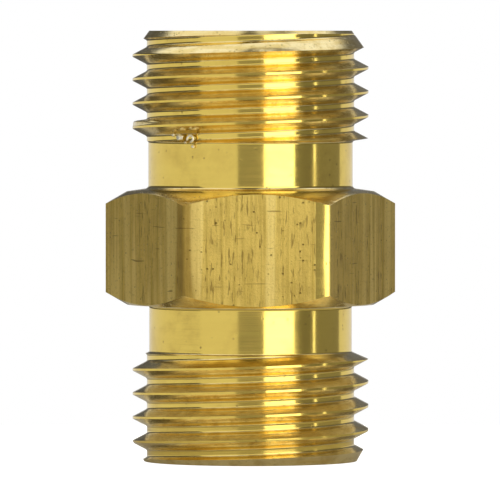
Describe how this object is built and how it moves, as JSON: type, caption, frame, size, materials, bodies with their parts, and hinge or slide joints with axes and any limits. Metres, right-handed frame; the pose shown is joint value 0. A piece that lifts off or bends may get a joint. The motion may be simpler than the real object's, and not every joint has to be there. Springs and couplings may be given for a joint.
{
  "type": "hex nipple",
  "caption": "Short brass pipe nipple with a central hexagon, a turned neck and a parallel male pipe thread at each end, and a bore right through.",
  "frame": {"origin": "on the fitting's axis, half way between its two end faces", "axes": "+Z along the bore axis towards the upper end, which has the longer shank; two of the hexagon's flats face +Y and -Y"},
  "size_m": [0.0162, 0.014, 0.024],
  "materials": {
    "brass": "turned bright on the threads, necks and ends; plain drawn bar on the hexagon's flats"
  },
  "bodies": {
    "root": {"nipple_body": "brass"}
  },
  "joints": []
}
